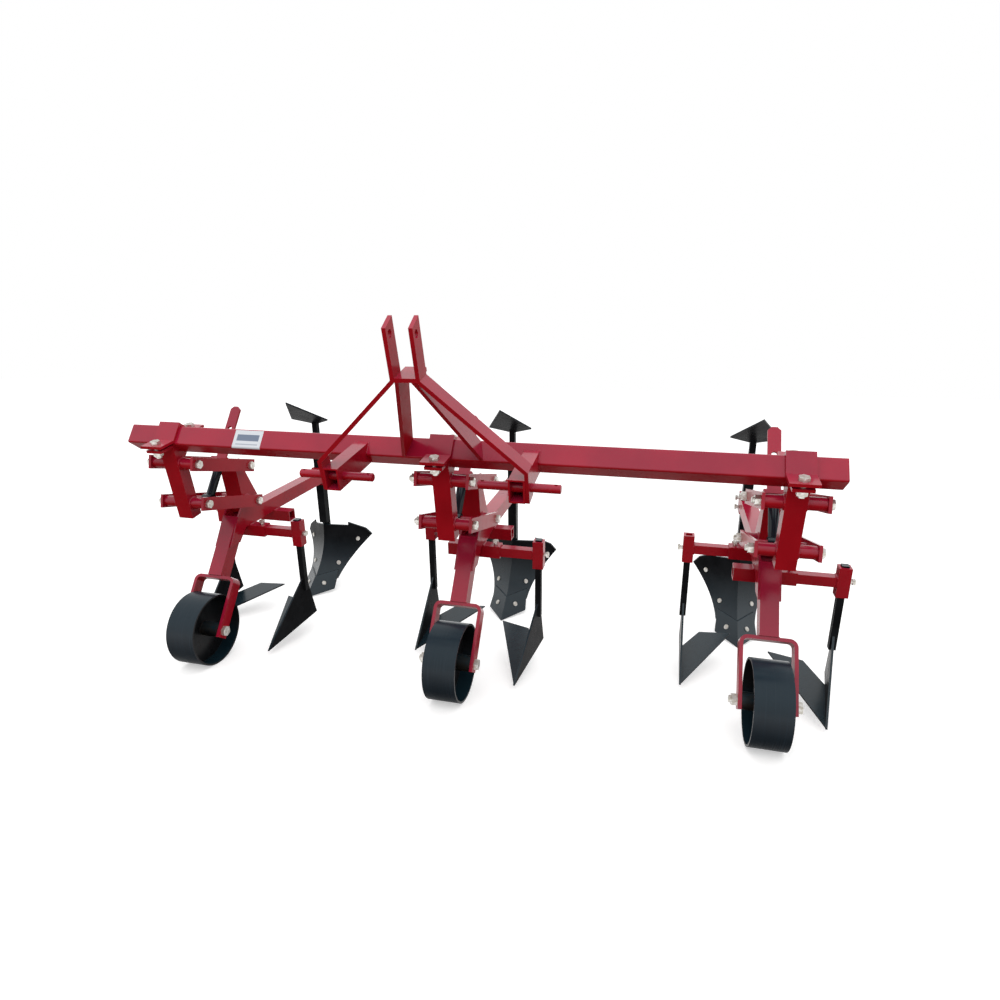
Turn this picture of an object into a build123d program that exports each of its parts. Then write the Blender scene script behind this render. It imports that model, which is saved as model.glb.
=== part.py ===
"""Three-row tine ridger for a tractor's three-point linkage.

Millimetres, +Z up, floor at Z = 0, +X along the toolbar, -Y towards the tractor.
Everything is drawn about the middle of the toolbar, whose axis is above Y = 0, with the beams of the row units
level, as they are at work: the wheels roll on Z = 0 and the shares cut working_depth below it.
When the pieces are written they all turn by stand_angle and move together, so that the machine is parked on its
wheels and share tips, and the origin lies on the floor under its middle.
"""

import os
from math import asin, atan2, cos, degrees, hypot, radians, sin, sqrt

from build123d import *

# Toolbar: a square tube laid edge-up
toolbar_side = 60.0
toolbar_wall = 5.0
toolbar_corner = 5.0
toolbar_length = 1984.0
toolbar_height = 760.0
toolbar_pitch = 8.0
end_cap_thickness = 5.0

# Rows, measured from the middle of the toolbar, and the origin
left_row = -864.0
middle_row = 1.0
right_row = 893.0
origin_back = 252.926
origin_right = 14.5

# Hitch arms and lower link pins
hitch_offset = 9.5
arm_spacing = 480.0
arm_width = 40.0
arm_height = 60.0
arm_wall = 4.0
arm_reach = 205.0
arm_top = 27.0
pin_diameter = 22.0
pin_collar = 26.0
pin_length = 204.0
pin_setback = 29.0
pin_fit = 0.1
pin_chamfer = 2.0
linch_hole = 9.0
linch_setback = 12.0

# Mast
mast_lean = 6.0
mast_forward = 180.0
mast_width = 44.0
mast_thickness = 10.0
ear_spacing = 62.0
ear_top = 396.0
ear_slope = 19.0
top_hole_height = 371.0
top_hole_forward = 4.0
top_hole_diameter = 19.5
bend_height = 265.0
brace_foot_height = 45.0
foot_drop = 33.0
stay_width = 52.0
stay_thickness = 10.0
stay_head_spread = 41.0
stay_spread = 206.0
stay_foot_height = 20.0
spacer_thickness = 10.0
spacer_width = 74.0

# Toolbar clamps and hangers
clamp_width = 68.0
lower_saddle_width = 50.0
lower_saddle_lip = 92.0
clamp_thickness = 8.0
clamp_lip = 98.0
lip_gap = 8.0
clamp_bolt_reach = 76.0
hanger_width = 50.0
hanger_depth = 40.0
hanger_wall = 5.0
hanger_tail = 46.0

# Parallel links
pivot_forward = 22.0
upper_pivot_drop = 71.0
pivot_spacing = 134.0
link_length = 260.0
link_slope = 15.5
link_width = 42.0
link_thickness = 8.0
link_overhang = 22.0
link_inner_gap = 140.6
bush_diameter = 34.0
bush_gap = 0.3
cross_tube_diameter = 26.0

# Row unit frame
tube_side = 50.0
tube_wall = 4.0
beam_height = 414.0
upright_depth = 40.0
gusset_thickness = 6.0
gusset_top = 600.0
gusset_tail = 60.0
sleeve_side = 40.0
sleeve_length = 176.0
front_sleeve_y = 272.0
rear_sleeve_y = 434.0
leg_y = 816.0
leg_side = 34.0
socket_height = 75.0
slide_fit = 0.3

# Wheel, fork and wheel arm
wheel_diameter = 234.0
wheel_width = 98.0
wheel_band = 6.0
wheel_web = 6.0
hub_diameter = 48.0
hub_side_gap = 0.5
arm_lean = 36.87
arm_head_y = 212.0
fork_height = 176.0
fork_half_width = 75.5
fork_bar = 10.0
fork_depth = 40.0
fork_tail = 24.0
fork_bend = 22.0

# Hoe arms and hoes
hoe_reach = 213.0
hoe_arm_side = 30.0
hoe_arm_wall = 3.0
hoe_arm_insert = 20.0
hoe_socket_side = 34.0
hoe_socket_height = 92.0
shank_side = 20.0
shank_top_drop = 3.0
shank_foot = 140.0
hoe_plate = 6.0
hoe_plate_top = 186.0
hoe_tip_forward = 210.0
hoe_heel_back = 46.0
hoe_heel_height = 30.0
hoe_wing_reach = 170.0
hoe_wing_length = 300.0
hoe_wing_root = 65.0
hoe_notch_length = 185.0
hoe_wing_thickness = 5.0
right_hoe_toe = 10.0
right_hoe_raise = 8.0
left_hoe_toe = 0.0
left_hoe_raise = -15.0

# Limit strap
strap_along_link = 0.45
strap_slope = 52.7
strap_x = -12.0
strap_width = 36.0
strap_thickness = 8.0
strap_length = 347.0
strap_hole = 16.0
strap_hole_drop = 84.0
strap_chamfer = 10.0
strap_tube = 28.0
stop_gap = 0.4
eye_diameter = 42.0
eye_width = 32.0
eye_fit = 0.3
keeper_wall = 8.0
keeper_depth = 12.0
keeper_side_room = 3.0
keeper_face_room = 4.0

# Ridger
working_depth = 75.0
leg_top = 530.0
leg_foot = -30.0
leg_neck_side = 22.0
duckfoot_height = 648.0
duckfoot_length = 236.0
duckfoot_half_width = 84.0
duckfoot_shoulder = 47.0
duckfoot_slope = 30.7
duckfoot_thickness = 6.0
wing_wall = 8.0
wing_sag = 2.0
wing_bottom = -45.0
wing_top = 199.0
wing_prow_height = 191.0
wing_step_low = 166.0
wing_step_high = 181.0
wing_tail_height = 138.0
wing_step_reach = 82.0
wing_tail_reach = 162.0
wing_corner = 22.0
wing_corner_drop = 36.0
prow_top_y = 798.0
prow_run = 200.0
prow_curve = 2.6
wing_top_reach = 265.0
wing_bottom_reach = 72.0
wing_top_back = 222.0
wing_bottom_back = 102.0
wing_flare = 1.55
share_height = 62.0
share_tip_y = 598.0
share_reach = 75.0
share_back = 108.0
share_top_reach = 66.0
share_top_back = 88.0
seat_gap = 0.4
frog_width = 30.0
frog_top = 176.0

# Fasteners: diameter, across flats, head height, nut height
bolt_16 = (16.0, 24.0, 10.0, 13.0)
bolt_20 = (20.0, 30.0, 12.5, 16.0)
bolt_12 = (12.0, 18.0, 7.5, 10.0)
bolt_fit = 0.15
axle_fit = 0.2
nut_fit = 0.1
bolt_tail = 7.0
sleeve_bolt_x = 70.0
leg_bolt_spread = 18.0
set_bolt_stand = 8.0

# Values worked out from the sizes above
pitch = radians(toolbar_pitch)
half_diagonal = toolbar_side / sqrt(2)
arm_drop = arm_height - arm_top
arm_middle = arm_top - arm_height / 2
pin_forward = arm_reach - pin_setback
lower_pivot_drop = upper_pivot_drop + pivot_spacing
row_centres = [left_row, middle_row, right_row]
row_names = ["left_unit", "middle_unit", "right_unit"]
link_plate_x = link_inner_gap / 2
bush_half = link_plate_x - bush_gap
bolt_seat_x = link_plate_x + link_thickness
beam_top = beam_height + tube_side / 2
beam_bottom = beam_height - tube_side / 2
sleeve_height = beam_bottom - sleeve_side / 2
wheel_radius = wheel_diameter / 2


def tool_direction(x, y, z):
    """A direction given along the toolbar, behind it and above it, in the frame of the model."""
    return Vector(x, y * cos(pitch) - z * sin(pitch), y * sin(pitch) + z * cos(pitch))


def tool_point(x, y, z):
    """A point given along the toolbar, behind its axis and above it, in the frame of the model."""
    return Vector(0, 0, toolbar_height) + tool_direction(x, y, z)


# Sketch planes seen from the right: first axis to the rear, second axis up
tool_side_plane = Plane(tool_point(0, 0, 0), x_dir=tool_direction(0, 1, 0), z_dir=(1, 0, 0))
level_side_plane = Plane.YZ

# Pivots of the parallel links, in the plane X = 0 of a row unit
front_lower_pivot = tool_point(0, -pivot_forward, -lower_pivot_drop)
front_upper_pivot = tool_point(0, -pivot_forward, -upper_pivot_drop)
link_direction = Vector(0, cos(radians(link_slope)), -sin(radians(link_slope)))
rear_lower_pivot = front_lower_pivot + link_direction * link_length
rear_upper_pivot = front_upper_pivot + link_direction * link_length
upright_direction = tool_direction(0, 0, 1)
upright_depth_direction = tool_direction(0, 1, 0)

# Wheel arm: its axis passes the front end of the beam and the axle
lean = radians(arm_lean)
arm_up = Vector(0, sin(lean), cos(lean))
arm_rear = Vector(0, cos(lean), -sin(lean))
arm_head = Vector(0, arm_head_y, beam_height)
axle_centre = arm_head - arm_up * ((beam_height - wheel_radius) / cos(lean))


def side_polygon(plane, points, half_width):
    """A prism drawn in a side plane and extruded to both sides of it."""
    with BuildSketch(plane) as profile:
        with BuildLine():
            Polyline(*points, close=True)
        make_face()
    extrude(profile.sketch, amount=half_width, both=True)


def cross_cylinder(centre, diameter, half_length, mode=Mode.ADD):
    """A cylinder along X about a point."""
    with BuildSketch(Plane(centre, x_dir=(0, 1, 0), z_dir=(1, 0, 0))) as profile:
        Circle(diameter / 2)
    extrude(profile.sketch, amount=half_length, both=True, mode=mode)


def hex_bolt(size, grip, with_nut=True):
    """A hexagon bolt whose head seats on Z = 0 and whose shank points down, with its nut under the grip."""
    diameter, across, head, nut = size
    length = grip + (nut + bolt_tail if with_nut else 0)
    with BuildPart() as bolt:
        with BuildSketch(Plane.XY):
            RegularPolygon(across / 2, 6, major_radius=False)
        extrude(amount=head)
        chamfer(bolt.faces().sort_by(Axis.Z)[-1].edges(), diameter / 16)
        with BuildSketch(Plane.XY):
            Circle(diameter / 2)
        extrude(amount=-length)
        chamfer(bolt.faces().sort_by(Axis.Z)[0].edges(), diameter / 12)
        if with_nut:
            with BuildSketch(Plane.XY.offset(-grip)):
                RegularPolygon(across / 2, 6, major_radius=False)
                Circle(diameter / 2 + nut_fit, mode=Mode.SUBTRACT)
            extrude(amount=-nut)
    return bolt.part


def seat(x, y, z, direction):
    """Where a bolt's head seats, with the head on the side that the direction points to."""
    return Plane((x, y, z), z_dir=direction).location


# Toolbar
with BuildPart() as toolbar:
    with BuildSketch(tool_side_plane):
        RectangleRounded(toolbar_side, toolbar_side, toolbar_corner, rotation=45)
        inner_side = toolbar_side - 2 * toolbar_wall
        RectangleRounded(inner_side, inner_side, toolbar_corner / 2, rotation=45, mode=Mode.SUBTRACT)
    extrude(amount=toolbar_length / 2, both=True)

with BuildPart() as end_caps:
    for end in (-1, 1):
        with BuildSketch(tool_side_plane.offset(end * toolbar_length / 2)):
            RectangleRounded(toolbar_side, toolbar_side, toolbar_corner, rotation=45)
        extrude(amount=end * end_cap_thickness)


# Hitch arms and the lower link pins
def make_hitch_arm(side):
    centre_plane = tool_side_plane.offset(hitch_offset + side * arm_spacing / 2)
    with BuildPart() as arm:
        notch = [(arm_top - half_diagonal, arm_top), (-half_diagonal, 0), (arm_drop - half_diagonal, -arm_drop)]
        side_polygon(centre_plane, [(-arm_reach, arm_top), *notch, (-arm_reach, -arm_drop)], arm_width / 2)
        with BuildSketch(centre_plane):
            with Locations((-arm_reach / 2, arm_middle)):
                Rectangle(arm_reach, arm_height - 2 * arm_wall)
        extrude(amount=arm_width / 2 - arm_wall, both=True, mode=Mode.SUBTRACT)
        with BuildSketch(centre_plane):
            with Locations((-pin_forward, arm_middle)):
                Circle(pin_collar / 2 + pin_fit)
        extrude(amount=arm_width, both=True, mode=Mode.SUBTRACT)
    return arm.part


with BuildPart() as hitch_pins:
    for side in (-1, 1):
        pin_x = hitch_offset + side * arm_spacing / 2
        with BuildSketch(tool_side_plane.offset(pin_x)):
            with Locations((-pin_forward, arm_middle)):
                Circle(pin_diameter / 2)
        extrude(amount=pin_length / 2, both=True)
    chamfer(hitch_pins.edges().filter_by(GeomType.CIRCLE), pin_chamfer)
    for side in (-1, 1):
        collar_middle = hitch_offset + side * (arm_spacing + mast_thickness) / 2
        with BuildSketch(tool_side_plane.offset(collar_middle)):
            with Locations((-pin_forward, arm_middle)):
                Circle(pin_collar / 2)
        extrude(amount=(arm_width + mast_thickness) / 2, both=True)
    for side in (-1, 1):
        for end in (-1, 1):
            hole_x = hitch_offset + side * arm_spacing / 2 + end * (pin_length / 2 - linch_setback)
            hole_centre = tool_point(hole_x, -pin_forward, arm_middle)
            with BuildSketch(Plane(hole_centre, x_dir=(1, 0, 0), z_dir=tool_direction(0, 0, 1))):
                Circle(linch_hole / 2)
            extrude(amount=pin_diameter, both=True, mode=Mode.SUBTRACT)

# Mast: two bent flat bars in one leaning plane, a spacer between their ears and two stays
mast_sine = sin(radians(mast_lean))
mast_cosine = cos(radians(mast_lean))
mast_origin = tool_point(hitch_offset, -mast_forward, 0)
mast_front = tool_direction(0, -mast_cosine, -mast_sine)
mast_up = tool_direction(0, -mast_sine, mast_cosine)
mast_plane = Plane(mast_origin, x_dir=(1, 0, 0), z_dir=mast_front)
mast_side_plane = Plane(mast_origin, x_dir=mast_front * -1, z_dir=(1, 0, 0))
ear_inner = ear_spacing / 2 - mast_thickness / 2
foot_inner = arm_spacing / 2 + arm_width / 2
ear_cut_normal = mast_up * cos(radians(ear_slope)) + mast_front * sin(radians(ear_slope))
ear_cut = Plane(mast_origin + mast_up * ear_top, z_dir=ear_cut_normal)

with BuildPart() as mast_bar_right:
    with BuildSketch(mast_plane):
        with BuildLine():
            inner_line = Polyline((foot_inner, -foot_drop), (foot_inner, brace_foot_height),
                                  (ear_inner, bend_height), (ear_inner, ear_top + mast_width))
            offset(inner_line, amount=mast_thickness, side=Side.RIGHT, kind=Kind.INTERSECTION)
        make_face()
    extrude(amount=mast_width / 2, both=True)
    split(bisect_by=ear_cut, keep=Keep.BOTTOM)
    with BuildSketch(mast_side_plane):
        with Locations((-top_hole_forward, top_hole_height)):
            Circle(top_hole_diameter / 2)
    extrude(amount=ear_spacing, mode=Mode.SUBTRACT)
    with BuildSketch(tool_side_plane.offset(hitch_offset + foot_inner)):
        with Locations((-pin_forward, arm_middle)):
            Circle(pin_collar / 2 + pin_fit)
    extrude(amount=2 * mast_thickness, both=True, mode=Mode.SUBTRACT)

with BuildPart() as mast_bar_left:
    mirror(mast_bar_right.part, about=Plane((hitch_offset, 0, 0), z_dir=(1, 0, 0)))

with BuildPart() as mast_spacer:
    with BuildSketch(mast_plane.offset(mast_width / 2)):
        with Locations((0, bend_height + spacer_thickness / 2)):
            Rectangle(2 * ear_inner, spacer_thickness)
    extrude(amount=-spacer_width)

# Each stay is a flat bar that stands fore and aft, from under the spacer to the toolbar's upper front face
spacer_underside = Plane(mast_origin + mast_up * bend_height, z_dir=mast_up * -1)
upper_front_normal = tool_direction(0, -1, 1).normalized()
upper_front_face = Plane(tool_point(0, -half_diagonal / 2, half_diagonal / 2), z_dir=upper_front_normal)
stay_head = mast_origin + Vector(stay_head_spread / 2, 0, 0) + mast_up * bend_height + mast_front * (mast_width / 2)
stay_foot = tool_point(hitch_offset + stay_spread / 2, stay_foot_height - half_diagonal, stay_foot_height)
stay_run = stay_foot - stay_head
stay_turn = asin(stay_width / 2 / stay_run.length)
stay_down = stay_run.normalized()
stay_normal = tool_direction(0, 1, 0).cross(stay_down).normalized()
stay_rearward = stay_down.cross(stay_normal)
stay_line = stay_down * cos(stay_turn) - stay_rearward * sin(stay_turn)
stay_across = stay_rearward * cos(stay_turn) + stay_down * sin(stay_turn)

with BuildPart() as mast_stay_right:
    stay_start = stay_head + stay_across * (stay_width / 2) - stay_line * stay_width
    with BuildSketch(Plane(stay_start, x_dir=stay_across, z_dir=stay_line)):
        Rectangle(stay_width, stay_thickness)
    extrude(amount=stay_run.length + 2 * stay_width)
    split(bisect_by=spacer_underside, keep=Keep.TOP)
    split(bisect_by=upper_front_face, keep=Keep.TOP)

with BuildPart() as mast_stay_left:
    mirror(mast_stay_right.part, about=Plane((hitch_offset, 0, 0), z_dir=(1, 0, 0)))


# Toolbar clamp: a saddle over the tube with a lip in front and behind
def saddle(direction, width, lip):
    """The bent plate on the upper (1) or lower (-1) faces of the toolbar."""
    lip_height = direction * lip_gap / 2
    bend_reach = half_diagonal - lip_gap / 2
    plate_side = Side.LEFT if direction > 0 else Side.RIGHT
    with BuildSketch(tool_side_plane) as profile:
        with BuildLine():
            inside = Polyline((-lip, lip_height), (-bend_reach, lip_height), (0, direction * half_diagonal),
                              (bend_reach, lip_height), (lip, lip_height))
            offset(inside, amount=clamp_thickness, side=plate_side, kind=Kind.INTERSECTION)
        make_face()
    extrude(profile.sketch, amount=width / 2, both=True)


def clamp_bolt_holes():
    for reach in (-clamp_bolt_reach, clamp_bolt_reach):
        with BuildSketch(Plane(tool_point(0, reach, 0), x_dir=(1, 0, 0), z_dir=tool_direction(0, 0, 1))) as hole:
            Circle(bolt_16[0] / 2 + bolt_fit)
        extrude(hole.sketch, amount=clamp_lip, both=True, mode=Mode.SUBTRACT)


with BuildPart() as toolbar_clamp:
    saddle(1, clamp_width, clamp_lip)
    clamp_bolt_holes()

# Hanger: the lower saddle, a box section post and two bush tubes in one weldment
with BuildPart() as hanger:
    saddle(-1, lower_saddle_width, lower_saddle_lip)
    clamp_bolt_holes()
    post_front = -pivot_forward - hanger_depth / 2
    post_rear = -pivot_forward + hanger_depth / 2
    plate_middle = half_diagonal + clamp_thickness / sqrt(2)
    post_foot = -lower_pivot_drop - hanger_tail
    post = [(post_front, -plate_middle - post_front), (post_rear, -plate_middle - post_rear),
            (post_rear, post_foot), (post_front, post_foot)]
    side_polygon(tool_side_plane, post, hanger_width / 2)
    hollow_top = -plate_middle - post_rear - 2 * clamp_thickness
    with BuildSketch(tool_side_plane):
        with Locations((-pivot_forward, (hollow_top + post_foot) / 2)):
            Rectangle(hanger_depth - 2 * hanger_wall, hollow_top - post_foot)
    extrude(amount=hanger_width / 2 - hanger_wall, both=True, mode=Mode.SUBTRACT)
    for pivot in (front_upper_pivot, front_lower_pivot):
        cross_cylinder(pivot, bush_diameter, bush_half)
    for pivot in (front_upper_pivot, front_lower_pivot):
        cross_cylinder(pivot, bolt_16[0] + 2 * bolt_fit, bush_half + 1, Mode.SUBTRACT)


# Parallel links
def link_plates(front_pivot):
    for side in (-1, 1):
        plate_plane = Plane(front_pivot, x_dir=link_direction, z_dir=(1, 0, 0)).offset(side * link_plate_x)
        with BuildSketch(plate_plane) as plate:
            with Locations((link_length / 2, 0)):
                Rectangle(link_length + 2 * link_overhang, link_width)
            with Locations((0, 0), (link_length, 0)):
                Circle(bolt_16[0] / 2 + bolt_fit, mode=Mode.SUBTRACT)
        extrude(plate.sketch, amount=side * link_thickness)


with BuildPart() as upper_links:
    link_plates(front_upper_pivot)

strap_pivot = front_lower_pivot + link_direction * (link_length * strap_along_link)

with BuildPart() as lower_links:
    link_plates(front_lower_pivot)
    cross_cylinder(strap_pivot, cross_tube_diameter, link_plate_x)

# Limit strap: an eye on the lower links' cross tube, a round sleeve and a flat strap through the keeper
strap_axis = Vector(0, cos(radians(strap_slope)), sin(radians(strap_slope)))
strap_down = Vector(0, sin(radians(strap_slope)), -cos(radians(strap_slope)))
strap_centre = strap_pivot + Vector(strap_x, 0, 0)


keeper_along = (rear_upper_pivot - strap_pivot).dot(strap_axis)
keeper_offset = (rear_upper_pivot - strap_pivot).dot(strap_down)
strap_tube_length = keeper_along - keeper_depth / 2 - stop_gap
strap_face_plane = Plane(strap_centre, x_dir=(1, 0, 0), z_dir=strap_down * -1)

with BuildPart() as limit_strap:
    cross_cylinder(strap_centre, eye_diameter, eye_width / 2)
    with BuildSketch(Plane(strap_centre, x_dir=(1, 0, 0), z_dir=strap_axis)):
        Circle(strap_tube / 2)
    extrude(amount=strap_tube_length)
    with BuildSketch(strap_face_plane):
        half = strap_width / 2
        with BuildLine():
            Polyline((-half, strap_tube_length), (half, strap_tube_length), (half, strap_length - strap_chamfer),
                     (half - strap_chamfer, strap_length), (strap_chamfer - half, strap_length),
                     (-half, strap_length - strap_chamfer), close=True)
        make_face()
        with Locations((0, strap_length - strap_hole_drop)):
            Circle(strap_hole / 2, mode=Mode.SUBTRACT)
    extrude(amount=strap_thickness / 2, both=True)
    cross_cylinder(strap_centre, cross_tube_diameter + 2 * eye_fit, eye_width, Mode.SUBTRACT)


# Row unit frame: upright, beam, cross sleeves, leg socket, gussets and strap keeper in one weldment
def upright_point(depth, height):
    """The point of the upright's front (-) or rear (+) edge line at a height above the floor."""
    edge = rear_lower_pivot + upright_depth_direction * depth
    along = (height - edge.Z) / upright_direction.Z
    point = edge + upright_direction * along
    return (point.Y, point.Z)


def arm_rear_line(depth, height):
    """The point of the wheel arm's front (-) or rear (+) face line at a height above the floor."""
    return (arm_head_y + (depth + sin(lean) * (height - beam_height)) / cos(lean), height)


half_tube = tube_side / 2
half_upright = upright_depth / 2
upright_top = rear_upper_pivot.Z - 2
socket_front = leg_y - half_tube

set_screw = bolt_12[0] / 2 + bolt_fit

with BuildPart() as unit_frame:
    beam_front_low = arm_rear_line(half_tube, beam_bottom)
    beam_front_high = arm_rear_line(half_tube, beam_top)
    beam_outline = [beam_front_low, beam_front_high, (socket_front, beam_top), (socket_front, beam_bottom)]
    side_polygon(level_side_plane, beam_outline, half_tube)
    upright_outline = [upright_point(-half_upright, beam_top), upright_point(half_upright, beam_top),
                       upright_point(half_upright, upright_top), upright_point(-half_upright, upright_top)]
    side_polygon(level_side_plane, upright_outline, half_tube)
    with BuildSketch(level_side_plane):
        with Locations(((beam_front_high[0] + socket_front) / 2 + tube_wall, beam_height)):
            Rectangle(socket_front - beam_front_high[0] - 4 * tube_wall, tube_side - 2 * tube_wall)
    extrude(amount=half_tube - tube_wall, both=True, mode=Mode.SUBTRACT)
    with BuildSketch(level_side_plane):
        with BuildLine():
            inner_depth = half_upright - tube_wall
            Polyline(upright_point(-inner_depth, beam_top + tube_wall), upright_point(inner_depth, beam_top + tube_wall),
                     upright_point(inner_depth, upright_top), upright_point(-inner_depth, upright_top), close=True)
        make_face()
    extrude(amount=half_tube - tube_wall, both=True, mode=Mode.SUBTRACT)
    gusset_rear = upright_point(half_upright, beam_top)[0] + gusset_tail
    gusset_outline = [upright_point(-half_upright, gusset_top), upright_point(half_upright, gusset_top),
                      (gusset_rear, beam_top), (gusset_rear, beam_bottom), (front_sleeve_y - sleeve_side, beam_bottom),
                      (front_sleeve_y - 2 * sleeve_side, beam_bottom - sleeve_side),
                      arm_rear_line(-half_upright, beam_bottom - sleeve_side), arm_rear_line(-half_tube, beam_top),
                      upright_point(-half_upright, beam_top + sleeve_side)]
    for side in (-1, 1):
        with BuildSketch(level_side_plane.offset(side * half_tube)):
            with BuildLine():
                Polyline(*gusset_outline, close=True)
            make_face()
        extrude(amount=side * gusset_thickness)
    with BuildSketch(Plane((0, leg_y, beam_height))):
        Rectangle(tube_side, tube_side)
    extrude(amount=socket_height / 2, both=True)
    with BuildSketch(Plane((0, leg_y, beam_height))):
        Rectangle(leg_side + 2 * slide_fit, leg_side + 2 * slide_fit)
    extrude(amount=socket_height, both=True, mode=Mode.SUBTRACT)
    for pivot in (rear_upper_pivot, rear_lower_pivot):
        cross_cylinder(pivot, bush_diameter, bush_half)
    keeper_plane = Plane(strap_centre + strap_axis * keeper_along, x_dir=(1, 0, 0), z_dir=strap_axis)
    room_x = strap_width / 2 + keeper_side_room
    room_y = strap_thickness / 2 + keeper_face_room
    keeper_front = -room_y - keeper_wall
    with BuildSketch(keeper_plane):
        with Locations((0, (keeper_front + keeper_offset - strap_thickness) / 2)):
            Rectangle(2 * (room_x + keeper_wall), keeper_offset - strap_thickness - keeper_front)
        Rectangle(2 * room_x, 2 * room_y, mode=Mode.SUBTRACT)
    extrude(amount=keeper_depth / 2, both=True)
    for pivot in (rear_upper_pivot, rear_lower_pivot):
        cross_cylinder(pivot, bolt_16[0] + 2 * bolt_fit, bush_half + 1, Mode.SUBTRACT)
    for bolt_z in (beam_height - leg_bolt_spread, beam_height + leg_bolt_spread):
        with BuildSketch(Plane((0, leg_y, bolt_z), z_dir=(-1, 0, 0))):
            Circle(set_screw)
        extrude(amount=tube_side, mode=Mode.SUBTRACT)

# Cross sleeves: two square tubes welded under the beam, each with the set bolt of its hoe arm
with BuildPart() as cross_sleeves:
    for sleeve_y in (front_sleeve_y, rear_sleeve_y):
        with BuildSketch(level_side_plane):
            with Locations((sleeve_y, sleeve_height)):
                Rectangle(sleeve_side, sleeve_side)
                Rectangle(hoe_arm_side + 2 * slide_fit, hoe_arm_side + 2 * slide_fit, mode=Mode.SUBTRACT)
        extrude(amount=sleeve_length / 2, both=True)
    for bolt_x, bolt_y in ((sleeve_bolt_x, front_sleeve_y), (-sleeve_bolt_x, rear_sleeve_y)):
        with BuildSketch(Plane((bolt_x, bolt_y, sleeve_height))):
            Circle(set_screw)
        extrude(amount=sleeve_side, mode=Mode.SUBTRACT)

# Wheel leg: the leaning arm with its fork
fork_plane = Plane(axle_centre, x_dir=(1, 0, 0), z_dir=arm_rear * -1)
fork_inner = fork_half_width - fork_bar

with BuildPart() as wheel_leg:
    with BuildSketch(fork_plane) as fork_outline:
        with Locations((0, (fork_height - fork_tail) / 2)):
            Rectangle(2 * fork_half_width, fork_height + fork_tail)
        fillet(fork_outline.vertices().group_by(Axis.Y)[-1], fork_bend)
    extrude(amount=fork_depth / 2, both=True)
    with BuildSketch(fork_plane) as fork_space:
        with Locations((0, (fork_height - fork_bar - fork_tail - fork_bar) / 2)):
            Rectangle(2 * fork_inner, fork_height + fork_tail)
        fillet(fork_space.vertices().group_by(Axis.Y)[-1], fork_bend - fork_bar)
    extrude(amount=fork_depth, both=True, mode=Mode.SUBTRACT)
    cross_cylinder(axle_centre, bolt_20[0] + 2 * bolt_fit, 2 * fork_half_width, Mode.SUBTRACT)
    with BuildSketch(Plane(axle_centre + arm_up * fork_height, x_dir=(1, 0, 0), z_dir=arm_up)):
        Rectangle(tube_side, tube_side)
        Rectangle(tube_side - 2 * tube_wall, tube_side - 2 * tube_wall, mode=Mode.SUBTRACT)
    extrude(amount=(beam_top - axle_centre.Z) / cos(lean) + tube_side - fork_height)
    split(bisect_by=Plane((0, 0, beam_top)), keep=Keep.BOTTOM)

# Gauge wheel: a plain steel band, a web disc and a hub tube, welded together
band_bore = wheel_diameter - 2 * wheel_band

with BuildPart() as wheel_rim:
    cross_cylinder(axle_centre, wheel_diameter, wheel_width / 2)
    cross_cylinder(axle_centre, band_bore, wheel_width, Mode.SUBTRACT)

with BuildPart() as wheel_disc:
    cross_cylinder(axle_centre, band_bore, wheel_web / 2)
    cross_cylinder(axle_centre, hub_diameter, wheel_width, Mode.SUBTRACT)

with BuildPart() as wheel_hub:
    cross_cylinder(axle_centre, hub_diameter, fork_inner - hub_side_gap)
    cross_cylinder(axle_centre, bolt_20[0] + 2 * axle_fit, fork_half_width, Mode.SUBTRACT)


# Hoe arms: a square tube that slides in a cross sleeve, an upright socket on its outer end and its set bolt
hoe_set_bolt = hex_bolt(bolt_12, (hoe_socket_side - shank_side) / 2 - slide_fit + set_bolt_stand, with_nut=False)


def make_hoe_arm(side, sleeve_y):
    socket_inner_x = hoe_reach - hoe_socket_side / 2
    with BuildPart() as arm:
        with BuildSketch(Plane((-side * hoe_arm_insert, sleeve_y, sleeve_height), x_dir=(0, 1, 0), z_dir=(side, 0, 0))):
            Rectangle(hoe_arm_side, hoe_arm_side)
            Rectangle(hoe_arm_side - 2 * hoe_arm_wall, hoe_arm_side - 2 * hoe_arm_wall, mode=Mode.SUBTRACT)
        extrude(amount=socket_inner_x + hoe_arm_insert)
        with BuildSketch(Plane((side * hoe_reach, sleeve_y, sleeve_height))):
            Rectangle(hoe_socket_side, hoe_socket_side)
            Rectangle(shank_side + 2 * slide_fit, shank_side + 2 * slide_fit, mode=Mode.SUBTRACT)
        extrude(amount=hoe_socket_height / 2, both=True)
        with BuildSketch(Plane((side * hoe_reach, sleeve_y, sleeve_height), z_dir=(side, 0, 0))):
            Circle(bolt_12[0] / 2 + bolt_fit)
        extrude(amount=hoe_socket_side, mode=Mode.SUBTRACT)
        bolt_seat = side * (hoe_reach + hoe_socket_side / 2 + set_bolt_stand)
        with Locations(seat(bolt_seat, sleeve_y, sleeve_height, (side, 0, 0))):
            add(hoe_set_bolt)
    return arm.part


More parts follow.
